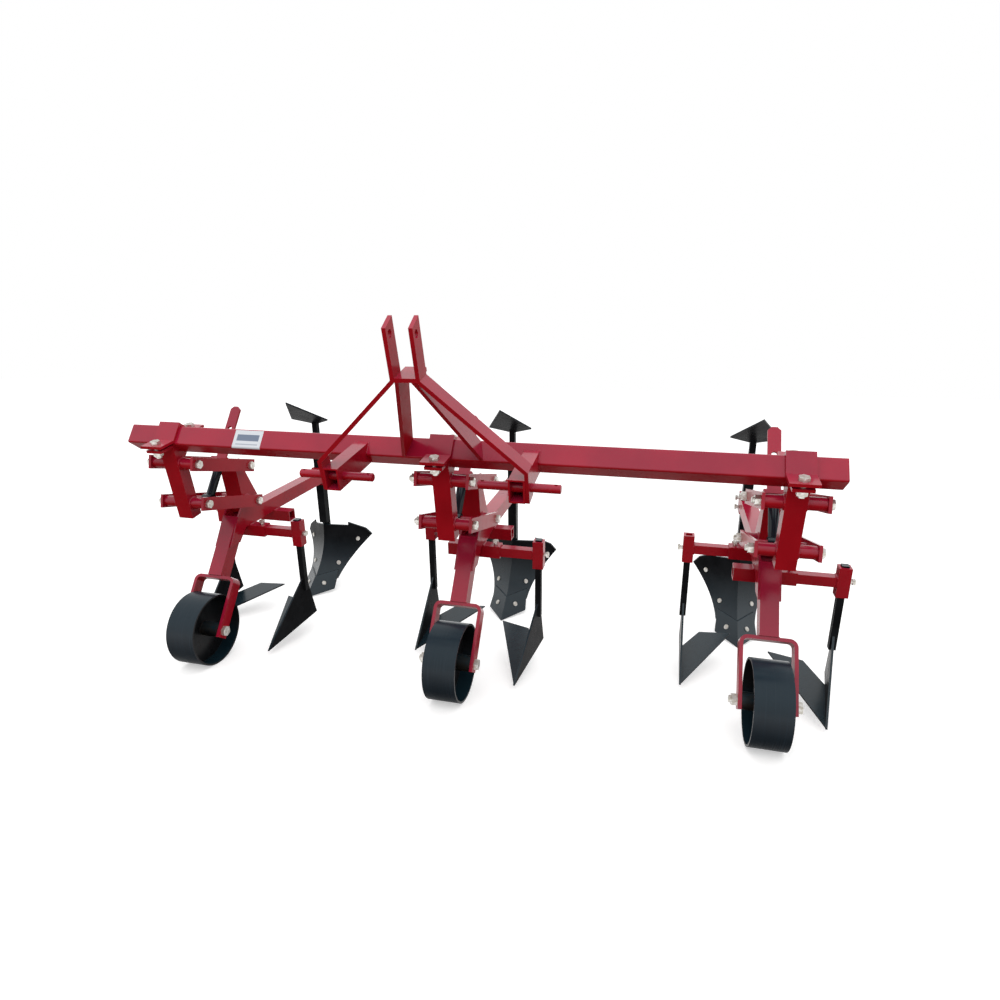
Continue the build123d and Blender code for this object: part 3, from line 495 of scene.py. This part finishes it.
# %% [markdown]
# Some small pieces are now modelled by hand, once each, at the origin, and copied to their places.
# An operator acts on all that is selected, so the first helpers select one object, or some faces of it.
# The others copy a model with its place in its mesh, and join copies to one object
# that rides on a moving body.


# %% Helpers for modelling by hand
def only(thing):
    """Leave this object as the only selected one, and active."""
    bpy.ops.object.select_all(action="DESELECT")
    thing.select_set(True)
    bpy.context.view_layer.objects.active = thing


def pick_faces(thing, test):
    """Select the faces whose centre and normal pass the test, in edit mode."""
    bpy.ops.object.mode_set(mode="OBJECT")
    for vertex in thing.data.vertices:
        vertex.select = False
    for edge in thing.data.edges:
        edge.select = False
    for face in thing.data.polygons:
        face.select = test(face.center, face.normal)
    bpy.ops.object.mode_set(mode="EDIT")
    bpy.ops.mesh.select_mode(type="FACE")


def put_place_in_mesh(thing):
    only(thing)
    bpy.ops.object.transform_apply(location=True, rotation=True, scale=True)


def mesh_copy(model, placing):
    copy = model.copy()
    copy.data = model.data.copy()
    bpy.context.scene.collection.objects.link(copy)
    copy.data.transform(placing)
    return copy


def joined(pieces):
    """One object made of several."""
    bpy.ops.object.select_all(action="DESELECT")
    for piece in pieces:
        piece.select_set(True)
    bpy.context.view_layer.objects.active = pieces[0]
    bpy.ops.object.join()
    return pieces[0]


def join_on(body, name, pieces):
    """Join pieces to one object that rides on a body."""
    whole = joined(pieces)
    whole.name = name
    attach(whole, body)
    print(name, "of", len(pieces))


print("helpers ready")

# %% [markdown]
# The mouldboards and the share are held by round-headed plough bolts.
# The head is a disc whose rim is bevelled into a dome.
# The nut behind it is a hexagon with its corners taken off, and the bolt's end stands out of it.

# %% Model one plough bolt
head_radius, head_depth, head_middle = 0.0095, 0.005, 0.0015
dome_bevel = 0.0028
nut_radius, nut_depth, nut_middle = 0.0098, 0.009, -0.0125
thread_length = 0.004


def model_bolt_head():
    bpy.ops.object.select_all(action="DESELECT")
    bpy.ops.mesh.primitive_cylinder_add(vertices=28, radius=head_radius, depth=head_depth,
                                        location=(0, 0, head_middle))
    head = bpy.context.active_object
    bpy.ops.object.mode_set(mode="EDIT")
    pick_faces(head, lambda centre, normal: normal.z > 0.9)
    bpy.ops.mesh.bevel(offset=dome_bevel, segments=4, profile=0.6)
    pick_faces(head, lambda centre, normal: normal.z > 0.95)
    bpy.ops.mesh.inset(thickness=0.002, depth=0.0003)
    bpy.ops.object.mode_set(mode="OBJECT")
    return head


def model_nut():
    bpy.ops.object.select_all(action="DESELECT")
    bpy.ops.mesh.primitive_cylinder_add(vertices=6, radius=nut_radius, depth=nut_depth,
                                        location=(0, 0, nut_middle))
    nut = bpy.context.active_object
    bpy.ops.object.mode_set(mode="EDIT")
    pick_faces(nut, lambda centre, normal: normal.z < -0.9)
    bpy.ops.mesh.inset(thickness=0.0014, depth=0.0009)
    bpy.ops.mesh.inset(thickness=0.0022)
    bpy.ops.mesh.extrude_region_move(TRANSFORM_OT_translate={"value": (0, 0, -thread_length)})
    bpy.ops.mesh.inset(thickness=0.0008, depth=0.0006)
    bpy.ops.object.mode_set(mode="OBJECT")
    return nut


plough_bolt = joined([model_bolt_head(), model_nut()])
put_place_in_mesh(plough_bolt)
bpy.ops.object.shade_smooth_by_angle(angle=math.radians(35))
plough_bolt.data.materials.append(zinc_plate)
print("bolt faces", len(plough_bolt.data.polygons))

# %% [markdown]
# A bolt stands square to the sheet that it goes through, and the mouldboards are curved.
# A ray from the front finds the sheet and its direction at each place,
# and a copy of the bolt is turned to it.

# %% Fit the bolts to the mouldboards and the share
wing_places = ((0.112, 0.205), (0.058, 0.110))
share_places = ((0.036, 0.042),)
straight_up = Vector((0, 0, 1))
rearwards = Vector((0, 1, 0))
before_machine = -1.0


def front_of(node_name, x, z):
    """Whether a ray from the front meets the node, and the point and the direction of the surface there."""
    return nodes[node_name].ray_cast(Vector((x, before_machine, z)), rearwards)[:3]


for unit in unit_names:
    wanted = [(unit + "_ridger_wings", x, z) for x, z in wing_places]
    wanted += [(unit + "_ridger_share", x, z) for x, z in share_places]
    copies = []
    for node_name, x, z in wanted:
        for side in (-1, 1):
            hit, point, normal = front_of(node_name, row_x[unit] + side * x, z)
            if hit:
                turn = straight_up.rotation_difference(normal).to_matrix().to_4x4()
                copies.append(mesh_copy(plough_bolt, Matrix.Translation(point) @ turn))
    join_on(unit + "_ridger_body", unit + "_ridger_bolts", copies)
bpy.data.objects.remove(plough_bolt)

# %% [markdown]
# A weld bead is a rope of steel with ripples across it, where the welder moved on step by step.
# Bump in the paint could show the ripples, but not the rope's outline, so the beads are modelled.
# There are two: a ring, for the tubes that carry the pivots, and a straight one.
# The ring is a torus whose every other slice is fattened. The straight one grows from a disc by extruding it
# again and again, and every other slice is scaled up.

# %% Model a ring bead and a straight bead
ring_radius, ring_thickness = 0.0176, 0.0028
ring_ripples, ring_swell = 15, 0.0007
bead_radius = 0.0026
bead_slices, bead_step = 11, 0.0036
bead_swell = 1.3


def model_ring():
    bpy.ops.object.select_all(action="DESELECT")
    bpy.ops.mesh.primitive_torus_add(major_radius=ring_radius, minor_radius=ring_thickness, major_segments=60,
                                     minor_segments=8, rotation=(0, math.pi / 2, 0))
    ring = bpy.context.active_object
    put_place_in_mesh(ring)
    pick_faces(ring, lambda centre, normal: math.sin(ring_ripples * math.atan2(centre.y, centre.z)) > 0.0)
    bpy.ops.transform.shrink_fatten(value=ring_swell)
    bpy.ops.object.mode_set(mode="OBJECT")
    return ring


def model_bead():
    bpy.ops.object.select_all(action="DESELECT")
    bpy.ops.mesh.primitive_cylinder_add(vertices=10, radius=bead_radius, depth=bead_step,
                                        location=(0, 0, bead_step / 2))
    bead = bpy.context.active_object
    put_place_in_mesh(bead)
    pick_faces(bead, lambda centre, normal: normal.z > 0.9)
    for number in range(1, bead_slices):
        bpy.ops.mesh.extrude_region_move(TRANSFORM_OT_translate={"value": (0, 0, bead_step)})
        swell = bead_swell if number % 2 else 1 / bead_swell
        bpy.ops.transform.resize(value=(swell, swell, 1.0))
    bpy.ops.object.mode_set(mode="OBJECT")
    return bead


ring_bead = model_ring()
straight_bead = model_bead()
for bead in (ring_bead, straight_bead):
    only(bead)
    bpy.ops.object.shade_smooth()
    bead.data.materials.append(red_paint)
print("bead faces", len(ring_bead.data.polygons), len(straight_bead.data.polygons))

# %% [markdown]
# Each bead is copied to its seam.
# A straight one is turned and stretched to run from one end of the seam to the other.
# All beads on one moving piece are joined, and ride on that piece.
# The toolbar and the hitch come first: rings at the front pivots, and straight beads beside the hitch arms.

# %% Weld the hitch and the hangers
front_pivots = ((-0.011905, 0.686630), (0.006745, 0.553933))
hanger_side = 0.025
hitch_x = -0.005
arm_from_hitch = 0.240
arm_side = 0.0205
arm_seam_low, arm_seam_high = (-0.0400, 0.0015), (-0.0150, 0.0265)


def ring_at(x, y, z):
    return mesh_copy(ring_bead, Matrix.Translation(parked(x, y, z)))


def bead_between(start, end):
    run = end - start
    turn = straight_up.rotation_difference(run).to_matrix().to_4x4()
    stretch = Matrix.Diagonal((1.0, 1.0, run.length / (bead_slices * bead_step), 1.0))
    return mesh_copy(straight_bead, Matrix.Translation(start) @ turn @ stretch)


carrier_beads = []
for x in row_x.values():
    for side in (-1, 1):
        carrier_beads += [ring_at(x + side * hanger_side, y, z) for y, z in front_pivots]
for side in (-1, 1):
    for face in (-arm_side, arm_side):
        seam_x = hitch_x + side * arm_from_hitch + face
        carrier_beads.append(bead_between(toolbar_turn @ Vector((seam_x, *arm_seam_low)),
                                          toolbar_turn @ Vector((seam_x, *arm_seam_high))))
join_on("carrier", "carrier_welds", carrier_beads)

# %% [markdown]
# Each unit's frame has rings at the rear pivots, beads along the two cross sleeves
# and beads at the wheel fork. Each hoe arm has four beads around the socket at its end.

# %% Weld the frames and the hoe arms
rear_pivots = ((0.238639, 0.617147), (0.257289, 0.484451))
frame_side = 0.031
front_sleeve_y, rear_sleeve_y = 0.272, 0.434
sleeve_seams = ((0.0320, front_sleeve_y), (0.0260, rear_sleeve_y))
sleeve_half, sleeve_top = 0.019, 0.3895
fork_side = 0.0255
fork_top = Vector((0.094849, 0.257800))
fork_half = Vector((-0.8, 0.6)) * 0.019
socket_from_row = 0.1955
socket_half, socket_low, socket_high = 0.0150, 0.3545, 0.3840
for unit, x in row_x.items():
    frame_beads = []
    for side in (-1, 1):
        frame_beads += [ring_at(x + side * frame_side, y, z) for y, z in rear_pivots]
        for seam_out, seam_y in sleeve_seams:
            seam_x = x + side * seam_out
            frame_beads.append(bead_between(parked(seam_x, seam_y - sleeve_half, sleeve_top),
                                            parked(seam_x, seam_y + sleeve_half, sleeve_top)))
        fork_x = x + side * fork_side
        frame_beads.append(bead_between(parked(fork_x, *(fork_top + fork_half)),
                                        parked(fork_x, *(fork_top - fork_half))))
    join_on(unit + "_frame_body", unit + "_frame_welds", frame_beads)
    for side, word, seam_y in ((1, "right", front_sleeve_y), (-1, "left", rear_sleeve_y)):
        seam_x = x + side * socket_from_row
        front, rear = seam_y - socket_half, seam_y + socket_half
        corners = [parked(seam_x, front, socket_low), parked(seam_x, front, socket_high),
                   parked(seam_x, rear, socket_high), parked(seam_x, rear, socket_low)]
        arm_beads = [bead_between(start, end) for start, end in zip(corners, corners[1:] + corners[:1])]
        join_on(unit + "_" + word + "_arm_body", unit + "_" + word + "_arm_welds", arm_beads)
bpy.data.objects.remove(ring_bead)
bpy.data.objects.remove(straight_bead)

# %% [markdown]
# The machine stands on a studio floor of plain white.
# The camera sees the lit floor as white, with the soft shadow of the machine on it,
# and so do mirrors and glass. The light that scatters from it on to the steel is less, as it is in a yard.

# %% Floor
floor_size = 60.0
floor_height = -0.0005
floor_seen = colour(0.80, 0.80, 0.80)
floor_glow = colour(0.45, 0.45, 0.45)
floor_plain = colour(0.30, 0.30, 0.30)
no_glow = colour(0, 0, 0)
shown_rays = ("Is Camera Ray", "Is Glossy Ray", "Is Transmission Ray")


def shown(tree):
    """1 where the camera looks, also by way of a mirror or through glass, and 0 for light that scatters."""
    camera_ray, mirror_ray, glass_ray = [source(tree, "ShaderNodeLightPath", ray) for ray in shown_rays]
    return camera_ray + mirror_ray + glass_ray


bpy.ops.object.select_all(action="DESELECT")
bpy.ops.mesh.primitive_plane_add(size=floor_size, location=(0, 0, floor_height))
floor = bpy.context.active_object
floor.name = "studio_floor"
floor_paint = bpy.data.materials.new("studio_white")
floor_paint.use_nodes = True
floor_tree = floor_paint.node_tree
floor_shader = floor_tree.nodes["Principled BSDF"]
floor_shown = shown(floor_tree)
feed(floor_shader, "Base Color", floor_shown.choose(floor_plain, floor_seen))
feed(floor_shader, "Emission Color", floor_shown.choose(no_glow, floor_glow))
floor_shader.inputs["Emission Strength"].default_value = 1.0
floor_shader.inputs["Roughness"].default_value = 0.9
floor_shader.inputs["Specular IOR Level"].default_value = 0.0
floor.data.materials.append(floor_paint)
print("floor", floor.dimensions.x, "m")

# %% [markdown]
# The light is a soft sky without a sun, and one large lamp that stands for a bright cloud.
# The camera sees the world as plain white, also in mirrors.
# The light of the sky grows from its foot to its top, so that undersides are darker.

# %% Sky
sky_low = colour(0.33, 0.33, 0.33)
sky_high = colour(1.17, 1.17, 1.17)
white = colour(1, 1, 1)
world = bpy.context.scene.world or bpy.data.worlds.new("studio")
bpy.context.scene.world = world
world.use_nodes = True
world_tree = world.node_tree
world_tree.nodes.clear()
sky_height = source(world_tree, "ShaderNodeTexCoord", "Generated").axis(2)
light_of_sky = sky_height.between(-0.15, 0.75).choose(sky_low, sky_high)
background = world_tree.nodes.new("ShaderNodeBackground")
world_out = world_tree.nodes.new("ShaderNodeOutputWorld")
feed(background, "Color", shown(world_tree).choose(light_of_sky, white))
background.inputs["Strength"].default_value = 1.0
world_tree.links.new(background.outputs[0], world_out.inputs["Surface"])
bpy.context.scene.view_settings.view_transform = "Standard"
print("sky nodes", len(world_tree.nodes))

# %% [markdown]
# The lamp is a wide disc in front of the machine and above it. It is wide, so its shadows are soft.
# It lights the steel without being mirrored in it, because a round spot in the paint would look
# like a studio.

# %% Lamp
cloud_place = Vector((0.4, -3.8, 4.6))
cloud_aim = Vector((0.0, -0.1, 0.4))
cloud_lamp = bpy.data.lights.new("bright_cloud", "AREA")
cloud_lamp.shape = "DISK"
cloud_lamp.size = 4.0
cloud_lamp.energy = 70.0
cloud_lamp.color = (1.0, 0.98, 0.95)
cloud_holder = bpy.data.objects.new("bright_cloud", cloud_lamp)
bpy.context.scene.collection.objects.link(cloud_holder)
cloud_holder.location = cloud_place
cloud_holder.rotation_euler = (cloud_aim - cloud_place).to_track_quat("-Z", "Y").to_euler()
cloud_holder.visible_glossy = False
print("lamp of", cloud_lamp.energy, "watts")

# %% [markdown]
# The camera stands where the photographer stood: in front of the hitch, to the right of the middle,
# and a little above. Its place, its turn and its lens were worked out from points of the picture
# whose places on the machine are known.

# %% Camera
eye = Vector((0.55798, -1.99231, 0.98665))
turn_left, tilt_down, roll = 0.24680, 0.19834, 0.01927
camera_data = bpy.data.cameras.new("photographer")
camera = bpy.data.objects.new("photographer", camera_data)
bpy.context.scene.collection.objects.link(camera)
ahead = Vector((-math.sin(turn_left) * math.cos(tilt_down), math.cos(turn_left) * math.cos(tilt_down),
                -math.sin(tilt_down)))
level_right = Vector((math.cos(turn_left), math.sin(turn_left), 0.0))
level_up = level_right.cross(ahead)
right = level_right * math.cos(roll) + level_up * math.sin(roll)
up = level_up * math.cos(roll) - level_right * math.sin(roll)
camera_turn = Matrix((right, up, -ahead)).transposed().to_4x4()
camera.matrix_world = Matrix.Translation(eye) @ camera_turn
camera_data.sensor_width = 36.0
camera_data.lens = 23.135
camera_data.shift_x = 0.0012
camera_data.shift_y = -0.0030
camera_data.clip_start = 0.05
camera_data.clip_end = 200.0
bpy.context.scene.camera = camera
print("camera at", [round(value, 3) for value in camera.location])
